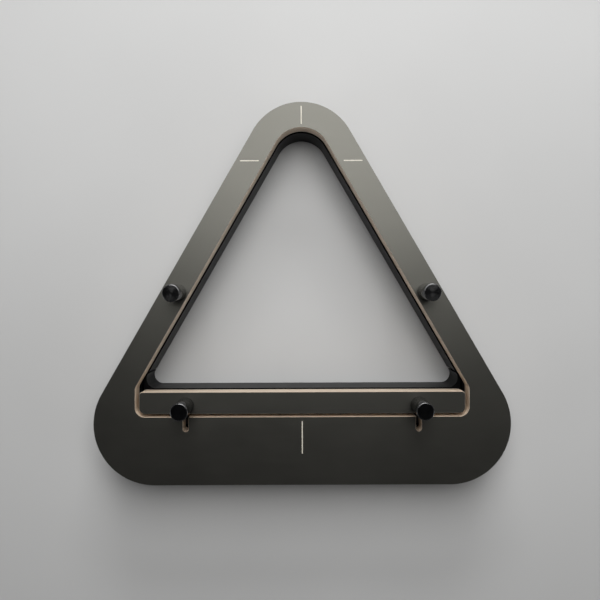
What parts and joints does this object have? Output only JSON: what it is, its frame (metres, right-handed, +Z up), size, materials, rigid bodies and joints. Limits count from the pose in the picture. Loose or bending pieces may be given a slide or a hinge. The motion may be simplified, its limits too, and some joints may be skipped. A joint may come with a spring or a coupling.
{
  "type": "triangle rack",
  "caption": "Triangle ball rack: black laminated plate over glossy lower walls, with a rear bar that slides forward by its peg knobs to squeeze the pool balls tight.",
  "frame": {"origin": "middle of the underside of the bounding box, on the table surface that the rack stands on", "axes": "+Y points to the apex of the triangle, +X to the right seen from above, +Z up"},
  "size_m": [0.4092, 0.3753, 0.09],
  "materials": {
    "laminate_black": "satin",
    "ply_core": "sanded, clear sealed",
    "ivory_inlay": "satin",
    "wall_gloss": "gloss",
    "knob_gloss": "gloss",
    "slide_black": "satin",
    "screw_steel": "zinc plated",
    "dowel_wood": "raw"
  },
  "bodies": {
    "frame": {"plate_top_laminate": "laminate_black", "plate_bottom_laminate": "laminate_black", "plate_core": "ply_core", "inlay_apex": "ivory_inlay", "inlay_left": "ivory_inlay", "inlay_right": "ivory_inlay", "inlay_rear": "ivory_inlay", "side_rail_left": "wall_gloss", "side_rail_right": "wall_gloss", "apex_rail": "wall_gloss", "rear_rail": "wall_gloss", "side_knob_left": "knob_gloss", "side_knob_right": "knob_gloss", "side_knob_stud_left": "screw_steel", "side_knob_stud_right": "screw_steel", "frame_screw_1": "screw_steel", "frame_screw_2": "screw_steel", "frame_screw_3": "screw_steel", "frame_screw_4": "screw_steel", "frame_screw_5": "screw_steel", "frame_screw_6": "screw_steel", "frame_screw_7": "screw_steel", "frame_screw_8": "screw_steel", "frame_screw_9": "screw_steel", "frame_screw_10": "screw_steel", "frame_screw_11": "screw_steel", "frame_screw_12": "screw_steel", "rail_dowel_1": "dowel_wood", "rail_dowel_2": "dowel_wood", "rail_dowel_3": "dowel_wood", "rail_dowel_4": "dowel_wood"},
    "slider": {"bar_core": "ply_core", "bar_top_laminate": "laminate_black", "bar_bottom_laminate": "laminate_black", "pusher": "wall_gloss", "guide_tongue_left": "slide_black", "guide_tongue_right": "slide_black", "bar_knob_left": "knob_gloss", "bar_knob_right": "knob_gloss", "bar_knob_stud_left": "screw_steel", "bar_knob_stud_right": "screw_steel", "pusher_screw_1": "screw_steel", "pusher_screw_2": "screw_steel", "pusher_screw_3": "screw_steel"}
  },
  "joints": [
    {"name": "bar_slide", "type": "slide", "parent": "frame", "child": "slider", "axis": [0, 1, 0], "range_m": [-0.0027, 0.0015]}
  ]
}
